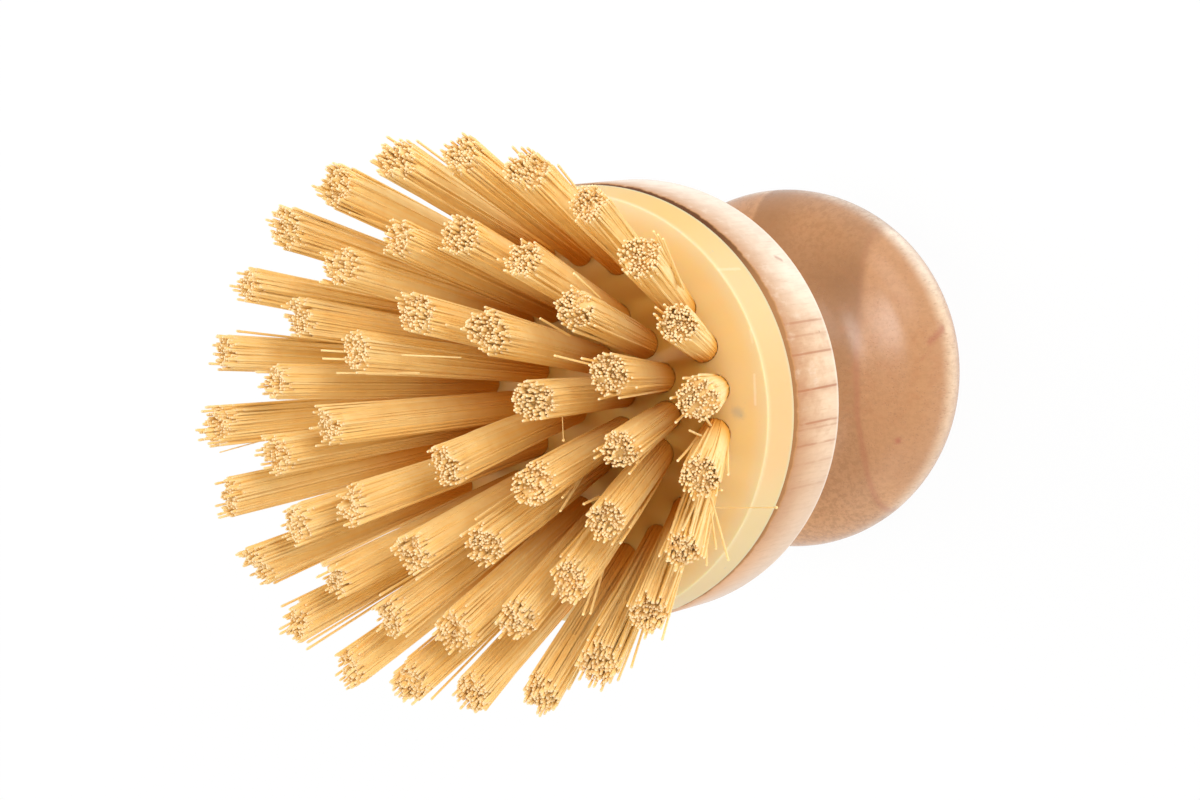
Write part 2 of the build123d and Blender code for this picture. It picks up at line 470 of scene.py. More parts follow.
    # Surface, with each relief as its depth and its strength
    speck_strength: float = 0.5
    plain_roughness: float = 0.34
    rubbed_roughness: float = 0.10
    pore_roughness: float = 0.2
    line_depth: float = 0.3
    fibre_relief: Pair = (0.06 * MM, 0.5)
    worn_relief: Pair = (0.02 * MM, 0.3)
    coat: float = 0.7
    coat_roughness: float = 0.27
    gloss: float = 0.3

    def growth_lines(self, sheet: NodeSheet, coords: Socket, level: Socket) -> Socket:
        """Return the mask of the thin brown lines that cross the rim.

        Args:
            sheet: the material's node sheet.
            coords: the piece's coordinates.
            level: the slightly wandering place along Y, in metres.

        Returns:
            The mask, from 0 to 1.
        """
        width, total = self.line_width, 0.0
        for place, strength in zip(self.line_places, self.line_strengths):
            gap = sheet.gap(level, place * MM)
            line = sheet.span(gap, width, self.line_core * width, 0.0, strength)
            halo = sheet.span(gap, self.halo_width * width, 0.0, 0.0, self.halo_strength * strength)
            total = sheet.math("MAXIMUM", total, sheet.math("MAXIMUM", line, halo))
        breaks = sheet.noise(coords, self.line_breaks)
        return sheet.product(total, sheet.span(breaks, *self.line_breaks.fade, self.line_left, 1.0))

    def heartwood(self, sheet: NodeSheet, across: Socket, y: Socket) -> Socket:
        """Return the mask of the darker heartwood, weakened towards the bottom partly as painted
        bounce light from below.

        Args:
            sheet: the material's node sheet.
            across: the wandering place along X, in metres.
            y: the place along Y, in metres.

        Returns:
            The mask, from 0 to 1.
        """
        before, after = self.heart_end_reach
        entering = sheet.span(across, self.heart_start, self.heart_start + self.heart_start_width)
        leaving = sheet.span(across, self.heart_end - before, self.heart_end + after, 1.0, 0.0)
        heart = sheet.product(entering, leaving)
        heart = sheet.product(heart, sheet.span(y, *self.heart_rise, *self.heart_strengths))
        crown = sheet.span(y, *self.crown_rise, 0.0, self.crown_loss)
        faded = sheet.product(crown, sheet.span(across, *self.crown_across))
        return sheet.product(heart, sheet.math("SUBTRACT", 1.0, faded))

    def ground(self, sheet: NodeSheet, y: Socket) -> Socket:
        """Return the wood's plain colour, with painted light making the top paler, painted shade
        making the bottom darker, and end grain on faces that slant, which painted bounce light makes
        paler and redder at the knob's bottom.

        Args:
            sheet: the material's node sheet.
            y: the place along Y, in metres.

        Returns:
            The colour.
        """
        upright = sheet.math("ABSOLUTE", sheet.parts(sheet.coordinates("Normal"))[2])
        end_grain = sheet.span(upright, 0.0, self.end_grain_slant)
        # Painted light paler towards the top, painted shade darker towards the bottom, painted bounce
        # light at the knob's bottom.
        turned = sheet.mix(sheet.span(y, *self.top_light_rise, 0.0, self.top_light_strength), self.pale, self.top_light)
        turned = sheet.mix(sheet.span(y, *self.lower_shade_fall, 0.0, self.lower_shade_strength), turned, self.tan)
        slanted = sheet.mix(sheet.span(y, *self.bounce_light_fall), self.tan, self.ruddy)
        return sheet.mix(end_grain, turned, slanted)

    def front_edge(self, sheet: NodeSheet, body: Socket, mottle: Socket, y: Socket,
                   z: Socket) -> tuple[Socket, Socket]:
        """Darken the bevel at the rim's front, as darker end grain and painted shade under the block's
        overhang, and paint shade into the joint with the block.

        Args:
            sheet: the material's node sheet.
            body: the wood's colour.
            mottle: the fine noise that makes the edge ragged.
            y: the place along Y, in metres.
            z: the height, in metres.

        Returns:
            The new colour and the bevel's mask.
        """
        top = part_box("handle")[1].z
        ragged = sheet.math("MULTIPLY_ADD", sheet.math("SUBTRACT", mottle, 0.5), self.raggedness, z)
        narrowing = sheet.span(y, *self.edge_fall, 0.0, self.edge_narrowing)
        ragged = sheet.math("SUBTRACT", ragged, narrowing)
        bevel_foot, joint_foot = top - self.bevel_reach, top - self.joint_shade_reach
        shaded_bevel = sheet.span(ragged, bevel_foot, bevel_foot + self.bevel_fade, 0.0,
                           self.bevel_strength)
        body = sheet.mix(shaded_bevel, body, self.shaded_bevel)
        joint_shade = sheet.span(ragged, joint_foot, joint_foot + self.joint_shade_fade)
        depth = sheet.span(y, *self.joint_shade_rise, *self.joint_shade_strengths)
        return sheet.mix(sheet.product(joint_shade, depth), body, self.joint_shade), shaded_bevel

    def build(self) -> Material:
        """Make the material.

        Returns:
            The material.
        """
        material, sheet, shader = self.start()
        coords = sheet.coordinates("Object")
        x, y, z = sheet.parts(coords)
        wander = sheet.math("SUBTRACT", sheet.noise(coords, self.wandering), 0.5)
        wander = sheet.product(wander, self.wander)
        across = sheet.math("ADD", x, wander)
        level = sheet.math("ADD", y, sheet.product(wander, self.wander_level))
        on_rim = sheet.span(z, *self.rim_rise)
        off_rim = sheet.math("SUBTRACT", 1.0, on_rim)

        fibre, mottle = sheet.noise(coords, self.fibre), sheet.noise(coords, self.mottle)
        cloud, curl = sheet.patches(coords, self.cloud), sheet.patches(coords, self.curl)
        pores = sheet.product(sheet.dots(coords, self.pores), sheet.patches(coords, self.pore_patches))
        pores = sheet.product(pores, sheet.math("MULTIPLY_ADD", on_rim, -self.rim_pore_loss, 1.0))
        figure = sheet.span(across, self.heart_end + self.figure_reach,
                            self.heart_end - self.figure_reach, *self.figure_strengths)
        near_neck = sheet.span(across, self.heart_start + self.neck_shade_reach,
                               self.heart_start - self.neck_shade_reach, 0.0, self.neck_shade)
        busy = sheet.span(sheet.gap(level, self.rim_middle), *self.rim_middle_reach, *self.rim_mottle)
        glint = sheet.product(sheet.span(mottle, *self.glints, 0.0, self.glint_strength), on_rim)
        glint = sheet.product(glint, sheet.span(y, *self.glint_rise))
        seam = sheet.product(sheet.span(sheet.gap(across, self.heart_end), *self.seam_reach), off_rim)
        seam = sheet.product(seam, sheet.span(y, *self.seam_fall, *self.seam_strengths))
        lines = sheet.product(self.growth_lines(sheet, coords, level), on_rim)
        wear = HandlingWear().place(sheet, Coordinates=coords)

        body = self.ground(sheet, y)
        layers = (
            (sheet.product(self.heartwood(sheet, across, y), off_rim), self.dark),
            (sheet.product(cloud, self.cloud_strength), self.tan),
            (sheet.span(fibre, *self.fibre.fade, 0.0, self.fibre_strength), self.dark),
            (sheet.product(curl, sheet.product(off_rim, figure)), self.dark),
            (sheet.product(near_neck, off_rim), self.dark),
            (sheet.product(sheet.span(mottle, *self.mottle.fade), busy), self.line),
            (glint, self.top_light),
            (sheet.product(pores, self.pore_strength), self.pore),
            (seam, self.knot),
            (sheet.product(lines, self.line_strength), self.line),
        )
        for share, colour in layers:
            body = sheet.mix(share, body, colour)
        body, shaded_bevel = self.front_edge(sheet, body, mottle, y, z)
        # Painted highlight along the rim's rounded back edge.
        edge = sheet.product(sheet.span(z, *self.edge_highlight_fall, 0.0, self.edge_highlight_strength), on_rim)
        body = sheet.mix(edge, body, self.edge_highlight)
        for mark in self.marks:
            body = mark.over(sheet, coords, body)
        body = sheet.mix(sheet.product(wear["Specks"], self.speck_strength), body, self.pore)

        rough = sheet.math("MULTIPLY_ADD", wear["Rubbing"], self.rubbed_roughness,
                           self.plain_roughness)
        relief = sheet.math("MULTIPLY_ADD", lines, -self.line_depth,
                            sheet.math("SUBTRACT", fibre, pores))
        normal = sheet.bump(relief, *self.fibre_relief)
        sheet.feed(shader, {
            "Base Color": body,
            "Roughness": sheet.math("MULTIPLY_ADD", pores, self.pore_roughness, rough),
            "Normal": sheet.bump(wear["Height"], *self.worn_relief, normal),
            "Specular IOR Level": sheet.math("MULTIPLY_ADD", shaded_bevel, -self.gloss, self.gloss),
            "Coat Weight": sheet.math("MULTIPLY_ADD", shaded_bevel, -self.coat, self.coat),
            "Coat Roughness": self.coat_roughness,
        })
        return material


@dataclass(frozen=True)
class MouldedPlasticFinish(Finish):
    """Cream-yellow moulded plastic, glossy and slightly see-through at its edges."""

    name: str = "moulded_plastic_cream"
    # Partly the plastic's own orange and partly painted light bounced from the bristles onto the face.
    face_orange_and_bounce: Colour = (0.87, 0.655, 0.29, 1.0)
    cream: Colour = (0.78, 0.69, 0.46, 1.0)
    pale: Colour = (0.80, 0.51, 0.225, 1.0)
    shade: Colour = (0.80, 0.47, 0.10, 1.0)
    cool: Colour = (0.76, 0.565, 0.27, 1.0)
    highlight_and_mould_line: Colour = (0.96, 0.84, 0.62, 1.0)
    smudge: Colour = (0.50, 0.46, 0.36, 1.0)
    seat_edge: Colour = (0.66, 0.57, 0.36, 1.0)
    marks: tuple[Mark, ...] = (
        Mark((22.3, -0.4, 73.0), (22.7, -0.6, 73.0), 1.1, 0.5, smudge),
        # Two painted highlights along the ledge near the pad's edge, then a whitish mould line down
        # the side wall.
        Mark((24.91, 4.1, 73.0), (24.89, 0.5, 73.0), 0.28, 0.8, highlight_and_mould_line),
        Mark((24.6, 9.5, 73.0), (24.8, 8.0, 73.0), 0.25, 0.5, highlight_and_mould_line),
        Mark((20.6, 16.85, 73.0), (21.4, 16.65, 68.8), 0.36, 0.3, highlight_and_mould_line),
    )
    flow: Pattern = Pattern(70, 3.0, 4, 0.6, (0.35, 0.7))
    flow_strength: float = 0.25
    wave: Pattern = Pattern(260)
    ledge_rise: Pair = (24.1 * MM, 26.5 * MM)
    ledge_strength: float = 0.6
    shaded: Pair = (23 * MM, 17 * MM)
    wall_rise: Pair = (26.5 * MM, 26.7 * MM)
    upper_wall: Pair = (2 * MM, 14 * MM)
    lower_wall: Pair = (-5 * MM, -14 * MM)
    # Painted shade along the very top of the side wall.
    top_wall_shade: Pair = (15 * MM, 25 * MM)
    top_wall_shade_strength: float = 0.6
    seat_reach: float = 0.7 * MM
    seat_strength: float = 0.7
    speck_strength: float = 0.35
    wave_relief: Pair = (0.12 * MM, 0.25)
    worn_relief: Pair = (0.01 * MM, 0.25)
    plain_roughness: float = 0.32
    rubbed_roughness: float = 0.14
    gloss: float = 0.35
    glow_share: float = 0.35
    glow: Point = (3.0 * MM, 1.5 * MM, 0.5 * MM)

    def wall_colour(self, sheet: NodeSheet, y: Socket) -> Socket:
        """Return the side wall's colour, paler above and below than in the middle, with painted shade
        along its very top.

        Args:
            sheet: the material's node sheet.
            y: the place along Y, in metres.

        Returns:
            The colour.
        """
        upper, lower = sheet.span(y, *self.upper_wall), sheet.span(y, *self.lower_wall)
        top_wall_shade = sheet.span(y, *self.top_wall_shade, 0.0, self.top_wall_shade_strength)
        cool = sheet.mix(top_wall_shade, self.cool, self.shade)
        return sheet.mix(sheet.math("MAXIMUM", upper, lower), self.pale, cool)

    def build(self) -> Material:
        """Make the material.

        Returns:
            The material.
        """
        material, sheet, shader = self.start()
        coords = sheet.coordinates("Object")
        x, y, z = sheet.parts(coords)
        square = sheet.math("MULTIPLY_ADD", y, y, sheet.product(x, x))
        out = sheet.math("SQRT", square)
        wear = HandlingWear().place(sheet, Coordinates=coords)
        seat_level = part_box("handle")[1].z

        ledge = sheet.span(out, *self.ledge_rise, 0.0, self.ledge_strength)
        flow = sheet.patches(coords, self.flow)
        creamy = sheet.math("MULTIPLY_ADD", flow, self.flow_strength, ledge)
        # The face's orange, partly painted bounce light from the bristles, under the paler ledge.
        body = sheet.mix(creamy, self.face_orange_and_bounce, self.cream)
        body = sheet.mix(sheet.span(out, *self.shaded), body, self.shade)
        body = sheet.mix(sheet.span(out, *self.wall_rise), body, self.wall_colour(sheet, y))
        body = sheet.mix(sheet.product(wear["Specks"], self.speck_strength), body, self.smudge)
        for mark in self.marks:
            body = mark.over(sheet, coords, body)
        low = sheet.span(z, seat_level + self.seat_reach, seat_level)
        body = sheet.mix(sheet.product(low, self.seat_strength), body, self.seat_edge)

        rough = sheet.math("MULTIPLY_ADD", wear["Rubbing"], self.rubbed_roughness,
                           self.plain_roughness)
        normal = sheet.bump(sheet.noise(coords, self.wave), *self.wave_relief)
        sheet.feed(shader, {
            "Base Color": body,
            "Roughness": rough,
            "Normal": sheet.bump(wear["Height"], *self.worn_relief, normal),
            "Specular IOR Level": self.gloss,
            "Subsurface Weight": self.glow_share,
            "Subsurface Radius": self.glow,
            "Subsurface Scale": 1.0,
        })
        return material


@dataclass(frozen=True)
class BristleFinish(Finish):
    """Stiff cream filament: warm along its length, pale at its cut end."""

    name: str = "bristle_filament"
    layer: str = "fibre"
    warm: Colour = (0.99, 0.69, 0.26, 1.0)
    light: Colour = (0.99, 0.77, 0.38, 1.0)
    # Painted shade: the deep orange towards the roots, where shade falls between the tufts; the same
    # colour tints the streaks.
    root: Colour = (0.84, 0.40, 0.045, 1.0)
    tip: Colour = (0.90, 0.68, 0.38, 1.0)
    root_shade_fade: Pair = (0.6, 0.05)
    root_shade_strength: float = 0.95
    streak: Pattern = Pattern(500, detail=3, fade=(0.35, 0.75))
    streak_strength: float = 0.18
    grain: Pattern = Pattern(6000)
    grain_relief: Pair = (0.01 * MM, 0.2)
    plain_roughness: float = 0.42
    uneven_roughness: float = 0.15
    cut_roughness: float = 0.3
    gloss: float = 0.2

    def build(self) -> Material:
        """Make the material.

        Returns:
            The material.
        """
        material, sheet, shader = self.start()
        coords = sheet.coordinates("Object")
        fibre = sheet.add("ShaderNodeAttribute", attribute_name=self.layer).outputs["Color"]
        chance, along, cut = sheet.add("ShaderNodeSeparateColor", {0: fibre}).outputs[:3]
        body = sheet.mix(chance, self.warm, self.light)
        # Painted shade: deeper orange towards the roots.
        depth = sheet.span(along, *self.root_shade_fade)
        body = sheet.mix(sheet.product(depth, self.root_shade_strength), body, self.root)
        streak = sheet.patches(coords, self.streak)
        body = sheet.mix(sheet.product(streak, self.streak_strength), body, self.root)
        rough = sheet.math("MULTIPLY_ADD", chance, self.uneven_roughness, self.plain_roughness)
        sheet.feed(shader, {
            "Base Color": sheet.mix(cut, body, self.tip),
            "Roughness": sheet.math("MULTIPLY_ADD", cut, self.cut_roughness, rough),
            "Normal": sheet.bump(sheet.noise(coords, self.grain), *self.grain_relief),
            "Specular IOR Level": self.gloss,
        })
        return material


@dataclass(frozen=True)
class AnchorWireFinish(Finish):
    """Drawn flat wire."""

    name: str = "anchor_wire_drawn"
    steel: Colour = (0.68, 0.67, 0.64, 1.0)
    dull: Colour = (0.42, 0.40, 0.37, 1.0)
    drawn: Pattern = Pattern(5000, 0.1)
    drawn_relief: Pair = (0.01 * MM, 0.4)
    plain_roughness: float = 0.25
    drawn_roughness: float = 0.3

    def build(self) -> Material:
        """Make the material.

        Returns:
            The material.
        """
        material, sheet, shader = self.start()
        coords = sheet.coordinates("Object")
        wear = HandlingWear().place(sheet, Coordinates=coords)
        drawn = sheet.noise(coords, self.drawn)
        rough = sheet.math("MULTIPLY_ADD", drawn, self.drawn_roughness, self.plain_roughness)
        sheet.feed(shader, {
            "Base Color": sheet.mix(wear["Rubbing"], self.steel, self.dull),
            "Roughness": rough,
            "Normal": sheet.bump(drawn, *self.drawn_relief),
            "Metallic": 1.0,
        })
        return material


# Mesh building


def linked(name: str, data: bpy.types.ID) -> Object:
    """Make an object of some data and put it in the scene.

    Args:
        name: the object's name.
        data: its mesh, lamp or camera.

    Returns:
        The object.
    """
    made = bpy.data.objects.new(name, data)
    bpy.context.scene.collection.objects.link(made)
    return made


def meshed(name: str, bm: BMesh) -> Mesh:
    """Turn a mesh under construction into a mesh.

    Args:
        name: the mesh's name.
        bm: the mesh under construction, which is freed.

    Returns:
        The mesh.
    """
    mesh = bpy.data.meshes.new(name)
    bm.to_mesh(mesh)
    bm.free()
    return mesh


def finished(name: str, bm: BMesh, material: Material, sharp: float = 35.0) -> Object:
    """Turn a mesh under construction into a piece that rides on the brush.

    Args:
        name: the piece's name.
        bm: its mesh, which is freed.
        material: its material.
        sharp: the angle in degrees past which an edge stays sharp.

    Returns:
        The piece.
    """
    for face in bm.faces:
        face.smooth = True
    mesh = meshed(name, bm)
    mesh.set_sharp_from_angle(angle=math.radians(sharp))
    mesh.materials.append(material)
    piece = linked(name, mesh)
    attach(piece, "root")
    return piece


def extruded(bm: BMesh, ring: Sequence[BMVert]) -> list[BMVert]:
    """Extrude a closed ring of vertices where it stands.

    Args:
        bm: the mesh under construction.
        ring: the ring.

    Returns:
        The new ring, still in the old one's place.
    """
    edges = list({e for v in ring for e in v.link_edges if all(end in ring for end in e.verts)})
    made = bmesh.ops.extrude_edge_only(bm, edges=edges)
    return [v for v in made["geom"] if isinstance(v, BMVert)]


class TurnedOutline:
    """A half outline drawn from its foot upwards, which is then turned round the axis."""

    MERGE_REACH = 0.001 * MM

    def __init__(self, radius: float, height: float) -> None:
        """Start the outline at a point."""
        self.bm = bmesh.new()
        self.last = self.bm.verts.new((radius, 0.0, height))

    def line(self, *points: Pair) -> None:
        """Draw straight lines to the points.

        Args:
            points: the points, each as its radius and its height.
        """
        for radius, height in points:
            after = self.bm.verts.new((radius, 0.0, height))
            self.bm.edges.new((self.last, after))
            self.last = after

    def arc(self, centre: Pair, end: Pair, steps: int) -> None:
        """Draw an arc round a centre, the short way to its end.

        Args:
            centre: the arc's centre, as its radius and its height.
            end: the arc's last point.
            steps: its number of segments.
        """
        here = (self.last.co.x - centre[0], self.last.co.z - centre[1])
        there = (end[0] - centre[0], end[1] - centre[1])
        turn = math.atan2(here[0] * there[1] - here[1] * there[0],
                          here[0] * there[0] + here[1] * there[1])
        made = bmesh.ops.spin(self.bm, geom=[self.last], cent=(centre[0], 0.0, centre[1]),
                              axis=(0.0, -1.0, 0.0), angle=turn, steps=steps, use_duplicate=False)
        self.last = [v for v in made["geom_last"] if isinstance(v, BMVert)][0]

    def rounded(self, corner: Pair, onward: Pair, radius: float,
                steps: int) -> None:
        """Draw a line to a corner and round it towards the next point.

        Args:
            corner: the corner, as its radius and its height.
            onward: the point that the outline heads for after the corner.
            radius: the rounding's radius.
            steps: its number of segments.
        """
        peak = Vector(corner)
        back = (Vector((self.last.co.x, self.last.co.z)) - peak).normalized()
        ahead = (Vector(onward) - peak).normalized()
        half = back.angle(ahead) / 2
        start = peak + back * (radius / math.tan(half))
        end = peak + ahead * (radius / math.tan(half))
        centre = peak + (back + ahead).normalized() * (radius / math.sin(half))
        self.line(start.to_tuple())
        self.arc(centre.to_tuple(), end.to_tuple(), steps)

    def turned(self, steps: int) -> BMesh:
        """Turn the outline once round the axis and close it.

        Args:
            steps: the number of segments round the axis.

        Returns:
            The closed mesh.
        """
        bm = self.bm
        bmesh.ops.spin(bm, geom=bm.verts[:] + bm.edges[:], cent=(0.0, 0.0, 0.0),
                       axis=(0.0, 0.0, 1.0), angle=FULL_TURN, steps=steps, use_merge=True)
        bmesh.ops.remove_doubles(bm, verts=bm.verts, dist=self.MERGE_REACH)
        bmesh.ops.recalc_face_normals(bm, faces=bm.faces)
        return bm


@dataclass
class TurnedHandle:
    """The wooden handle: knob, neck and rim, turned in one piece."""

    knob_radius: float = 24.3 * MM
    knob_side_arc: float = 9.25 * MM
    knob_lower_depth: float = 12.7 * MM
    knob_upper_depth: float = 13.7 * MM
    foot_radius: float = 9.0 * MM
    neck_radius: float = 11.6 * MM
    neck_hollow_arc: float = 9.0 * MM
    rim_hollow_arc: float = 8.0 * MM
    rim_front_below_face: float = 5.7 * MM
    rim_side_start_below_face: float = 7.4 * MM
    rim_front_bevel: float = 1.1 * MM
    rim_back_below_face: float = 18.9 * MM
    rim_back_rounding: float = 1.0 * MM
    socket_radius: float = 22.15 * MM
    socket_depth: float = 5.0 * MM
    lower_knob_steps: int = 8
    side_knob_steps: int = 22
    upper_knob_steps: int = 5
    neck_hollow_steps: int = 10
    rim_hollow_steps: int = 12
    rim_back_steps: int = 8
    steps_round: int = 160

    def crown_radius(self, depth: float) -> float:
        """Return the radius of the knob's flatter arc, tangent to its side arc, at this depth."""
        square_sum = self.knob_radius**2 + depth**2 - 2 * self.knob_radius * self.knob_side_arc
        return square_sum / (2 * (depth - self.knob_side_arc))

    def meeting(self, depth: float, crown: float) -> Pair:
        """Return where the knob's side arc meets its flatter arc.

        Args:
            depth: the knob's depth on this side of its equator.
            crown: the radius of the flatter arc.

        Returns:
            How far out and how deep the two arcs meet.
        """
        out = self.knob_radius - self.knob_side_arc
        down = crown - depth
        share = crown / math.hypot(out, down)
        return out * share, down * share - down

    def outline(self, face_level: float, rim_radius: float) -> TurnedOutline:
        """Draw the handle's half outline.

        Args:
            face_level: the height of the bristle block's face.
            rim_radius: the radius of the rim.

        Returns:
            The outline.
        """
        low_crown = self.crown_radius(self.knob_lower_depth)
        high_crown = self.crown_radius(self.knob_upper_depth)
        foot_rise = low_crown - math.sqrt(low_crown**2 - self.foot_radius**2)
        equator = self.knob_lower_depth - foot_rise
        low_out, low_down = self.meeting(self.knob_lower_depth, low_crown)
        high_out, high_up = self.meeting(self.knob_upper_depth, high_crown)
        crown_drop = high_crown - self.knob_upper_depth
        reach = high_crown + self.neck_hollow_arc
        hollow_out = self.neck_radius + self.neck_hollow_arc
        hollow_up = math.sqrt(reach**2 - hollow_out**2) - crown_drop
        share = high_crown / reach
        leaving = (hollow_out * share, equator + (hollow_up + crown_drop) * share - crown_drop)

        front = face_level - self.rim_front_below_face
        side_start = face_level - self.rim_side_start_below_face
        back = face_level - self.rim_back_below_face
        floor = front - self.socket_depth
        hollow_end = (self.neck_radius + self.rim_hollow_arc, back)
        hollow_centre = (hollow_end[0], back - self.rim_hollow_arc)
        rounding = self.rim_back_rounding
        rounding_centre = (rim_radius - rounding, back + rounding)
        side_centre = (self.knob_radius - self.knob_side_arc, equator)
        neck_centre = (hollow_out, equator + hollow_up)

        draw = TurnedOutline(0.0, 0.0)
        draw.line((self.foot_radius, 0.0))
        draw.arc((0.0, low_crown - foot_rise), (low_out, equator - low_down),
                 self.lower_knob_steps)
        draw.arc(side_centre, (high_out, equator + high_up), self.side_knob_steps)
        draw.arc((0.0, equator - crown_drop), leaving, self.upper_knob_steps)
        draw.arc(neck_centre, (self.neck_radius, equator + hollow_up), self.neck_hollow_steps)
        draw.line((self.neck_radius, back - self.rim_hollow_arc))
        draw.arc(hollow_centre, hollow_end, self.rim_hollow_steps)
        draw.line((rim_radius - rounding, back))
        draw.arc(rounding_centre, (rim_radius, back + rounding), self.rim_back_steps)
        draw.line((rim_radius, side_start), (rim_radius - self.rim_front_bevel, front),
                  (self.socket_radius, front), (self.socket_radius, floor), (0.0, floor))
        return draw

    def build(self, wood: Material) -> Object:
        """Build and dress the handle.

        Args:
            wood: the turned wood's material.

        Returns:
            The handle.
        """
        face_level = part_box("tuft_block")[1].z
        rim_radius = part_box("handle")[1].x
        bm = self.outline(face_level, rim_radius).turned(self.steps_round)
        piece = finished("turned_handle", bm, wood)
        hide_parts("handle")
        return piece


@dataclass(frozen=True)
class TuftRow:
    """One ring of tufts, as the block's holes are laid out, with its angles in degrees."""

    ring: Ring
    count: int
    root_radius: float
    splay: float
    tip_height: float
    start: float


@dataclass(frozen=True)
class TuftPlace:
    """One tuft's place: its hole's middle on the face, its axis and its length."""

    label: str
    root: Vector
    outward: Vector
    axis: Vector
    length: float
    lean: float

    @property
    def node(self) -> str:
        """Return the name of the CAD node that the tuft replaces."""
        return f"tuft_{self.label}"

    @property
    def sideways(self) -> Vector:
        """Return the direction along the ring."""
        return self.axis.cross(self.outward)

    def point(self, out: float, side: float, along: float) -> Vector:
        """Return a point in the brush's frame, given in the tuft's own directions."""
        return self.root + self.outward * out + self.sideways * side + self.axis * along


@dataclass
class TuftLayout:
    """Where the tufts stand: three rings and one in the middle."""

    rows: tuple[TuftRow, ...] = (
        TuftRow(Ring.OUTER, 23, 19.58 * MM, 23.6, 29.6 * MM, 6.7),
        TuftRow(Ring.MIDDLE, 17, 12.8 * MM, 18.2, 32.1 * MM, 17.1),
        TuftRow(Ring.INNER, 9, 7.1 * MM, 11.8, 34.1 * MM, 16.2),
        TuftRow(Ring.CENTRE, 1, 0.0, 0.0, 34.0 * MM, 291.0),
    )
    leaning: dict[str, float] = field(default_factory=lambda: {
        "outer_17": -1.95 * MM, "outer_18": -1.84 * MM, "centre": 3.83 * MM})

    def places(self, face_level: float) -> list[TuftPlace]:
        """Work out every tuft's place.

        Args:
            face_level: the height of the face that the tufts stand in.

        Returns:
            The places, from the outer ring to the centre.
        """
        found = []
        up = Vector((0.0, 0.0, 1.0))
        for row in self.rows:
            splay = math.radians(row.splay)
            for n in range(row.count):
                label = f"{row.ring.value}_{n + 1:02d}" if row.count > 1 else row.ring.value
                turn = math.radians(row.start) + FULL_TURN * n / row.count
                radial = Vector((math.cos(turn), math.sin(turn), 0.0))
                found.append(TuftPlace(
                    label=label,
                    root=radial * row.root_radius + up * face_level,
                    outward=radial * math.cos(splay) - up * math.sin(splay),
                    axis=radial * math.sin(splay) + up * math.cos(splay),
                    length=row.tip_height / math.cos(splay),
                    lean=self.leaning.get(label, 0.0),
                ))
        return found


@dataclass
class BristleBlock:
    """The moulded disc that the tufts stand in, with its pad, ledge, plug and holes."""

    edge_radius: float = 27.28 * MM
    face_radius: float = 26.58 * MM
    pad_foot_radius: float = 24.6 * MM
    pad_radius: float = 24.1 * MM
    pad_height: float = 0.012 * MM
    edge_rounding: float = 0.25 * MM
    edge_steps: int = 8
    back_below_face: float = 5.7 * MM
    plug_radius: float = 22.0 * MM
    plug_depth: float = 4.6 * MM
    hole_mouth_radius: float = 1.88 * MM
    hole_draft: float = 0.04
    hole_depth: float = 7.0 * MM
    hole_overrun: float = 2.4 * MM
    hole_sides: int = 32
    steps_round: int = 180
    sharp: float = 30.0

    def disc(self, face_level: float) -> BMesh:
        """Build the disc before its holes are cut.

        Args:
            face_level: the height of its face.

        Returns:
            The disc's mesh.
        """
        ledge = face_level - self.pad_height
        back = face_level - self.back_below_face
        floor = back - self.plug_depth
        pad_foot = (self.pad_foot_radius, ledge)
        draw = TurnedOutline(0.0, floor)
        draw.line((self.plug_radius, floor), (self.plug_radius, back), (self.edge_radius, back))
        draw.rounded((self.face_radius, ledge), pad_foot, self.edge_rounding, self.edge_steps)
        draw.line(pad_foot, (self.pad_radius, face_level), (0.0, face_level))
        return draw.turned(self.steps_round)

    def pins(self, places: Sequence[TuftPlace]) -> BMesh:
        """Build the pins that leave the holes.

        Args:
            places: the tufts' places.

        Returns:
            One mesh that holds every pin.
        """
        bm = bmesh.new()
        reach = self.hole_depth + self.hole_overrun
        wide = self.hole_mouth_radius + self.hole_draft * self.hole_overrun
        narrow = self.hole_mouth_radius - self.hole_draft * self.hole_depth
        for place in places:
            pin = bmesh.ops.create_cone(bm, cap_ends=True, segments=self.hole_sides,
                                        radius1=narrow, radius2=wide, depth=reach)
            for vert in pin["verts"]:
                along = vert.co.z + reach / 2 - self.hole_depth
                vert.co = place.point(vert.co.x, vert.co.y, along)
        bmesh.ops.recalc_face_normals(bm, faces=bm.faces)
        return bm

    def build(self, plastic: Material, places: Sequence[TuftPlace]) -> Object:
        """Build and dress the block.

        Args:
            plastic: the moulded plastic's material.
            places: the tufts' places.

        Returns:
            The block.
        """
        disc = self.disc(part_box("tuft_block")[1].z)
        blank = linked("block_blank", meshed("block_blank", disc))
        pins = linked("hole_pins", meshed("hole_pins", self.pins(places)))
        cut = blank.modifiers.new("holes", "BOOLEAN")
        cut.operation = "DIFFERENCE"
        cut.solver = "EXACT"
        cut.object = pins
        bm = bmesh.new()
        bm.from_mesh(blank.evaluated_get(bpy.context.evaluated_depsgraph_get()).to_mesh())
        for spent in (blank, pins):
            bpy.data.objects.remove(spent, do_unlink=True)
        piece = finished("moulded_block", bm, plastic, self.sharp)
        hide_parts("tuft_block")
        return piece


